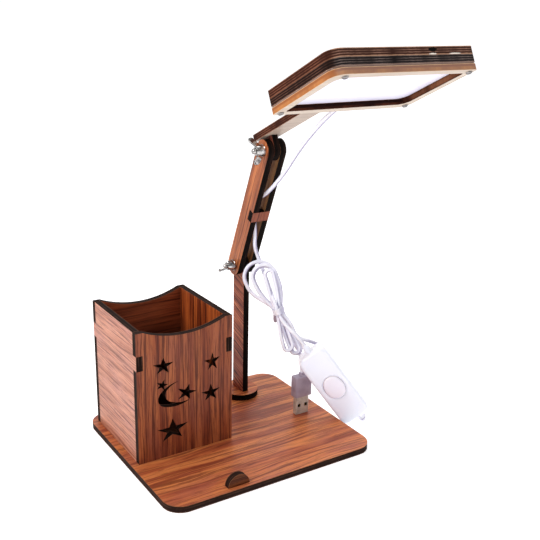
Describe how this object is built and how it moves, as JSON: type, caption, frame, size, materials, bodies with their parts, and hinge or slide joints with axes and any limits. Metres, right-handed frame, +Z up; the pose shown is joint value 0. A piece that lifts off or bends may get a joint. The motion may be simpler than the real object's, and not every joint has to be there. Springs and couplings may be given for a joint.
{
  "type": "desk lamp with pen holder",
  "caption": "Desk lamp of laser-cut boards with a square pen box, a two-hinge swing arm with wing nuts, a flat rectangular light head and a USB cord with an inline switch.",
  "frame": {"origin": "centre of the base's underside", "axes": "+X to the right seen from the front, +Y to the back, +Z up; the arm and head reach towards -Y"},
  "size_m": [0.1993, 0.2099, 0.2984],
  "materials": {
    "wood_base": "satin plywood with a reddish brown finish",
    "wood_box_front": "satin, vertical grain",
    "wood_box_side": "satin, level grain",
    "wood_arm": "satin, lengthwise grain",
    "wood_pale": "bare pale wood on its underside",
    "diffuser": "opal sheet",
    "light_plate": "white plate with square lights",
    "steel": "plated",
    "cord_white": "white, slightly glossy",
    "tie_white": "white band",
    "switch_white": "white",
    "plug_white": "pale grey white",
    "insert": "white"
  },
  "bodies": {
    "stand": {"base_plate": "wood_base", "box_front_panel": "wood_box_front", "box_back_panel": "wood_box_front", "box_left_panel": "wood_box_side", "box_right_panel": "wood_box_side", "phone_stop": "wood_base", "post_collar": "wood_base", "post_board": "wood_arm", "cord_lower": "cord_white", "cord_hank": "cord_white", "cord_from_switch": "cord_white", "cord_to_plug": "cord_white", "cord_tie": "tie_white", "switch_lower_shell": "switch_white", "switch_upper_shell": "switch_white", "switch_core": "insert", "switch_relief_top": "switch_white", "switch_relief_low": "switch_white", "plug_shell": "steel", "plug_insert": "insert", "plug_overmould": "plug_white"},
    "mid_arm": {"cheek_left": "wood_arm", "cheek_right": "wood_arm", "arm_crosspiece": "wood_arm", "lower_bolt": "steel", "lower_washer_left": "steel", "lower_washer_right": "steel", "upper_bolt": "steel", "upper_washer_left": "steel", "upper_washer_right": "steel", "cord_upper": "cord_white"},
    "upper_arm": {"hinge_tongue": "wood_arm", "head_top_board": "wood_base", "head_spacer_ring": "wood_arm", "diffuser_sheet": "diffuser", "head_window_frame": "wood_pale", "light_plate": "light_plate", "head_screw_1": "steel", "head_screw_2": "steel", "head_screw_3": "steel", "head_screw_4": "steel"},
    "lower_nut": {"lower_wing_nut": "steel"},
    "upper_nut": {"upper_wing_nut": "steel"},
    "button": {"switch_button": "switch_white"}
  },
  "joints": [
    {"name": "lower_hinge", "type": "hinge", "parent": "stand", "child": "mid_arm", "pos_m": [0.041, 0.05, 0.12], "axis": [1, 0, 0], "range_deg": [-50, 20], "deforming": ["cord_lower"]},
    {"name": "upper_hinge", "type": "hinge", "parent": "mid_arm", "child": "upper_arm", "pos_m": [0.041, 0.0089, 0.21825], "axis": [1, 0, 0], "range_deg": [-42, 60], "deforming": ["cord_upper"]},
    {"name": "lower_wing_nut_turn", "type": "hinge", "parent": "mid_arm", "child": "lower_nut", "pos_m": [0.028, 0.05, 0.12], "axis": [-1, 0, 0], "range_deg": [-15, 180]},
    {"name": "upper_wing_nut_turn", "type": "hinge", "parent": "mid_arm", "child": "upper_nut", "pos_m": [0.028, 0.0089, 0.21825], "axis": [-1, 0, 0], "range_deg": [-15, 180]},
    {"name": "switch_press", "type": "slide", "parent": "stand", "child": "button", "axis": [0.4552, 0.8901, 0.0232], "range_m": [0, 0.0012], "stiffness_N_per_m": 600}
  ]
}
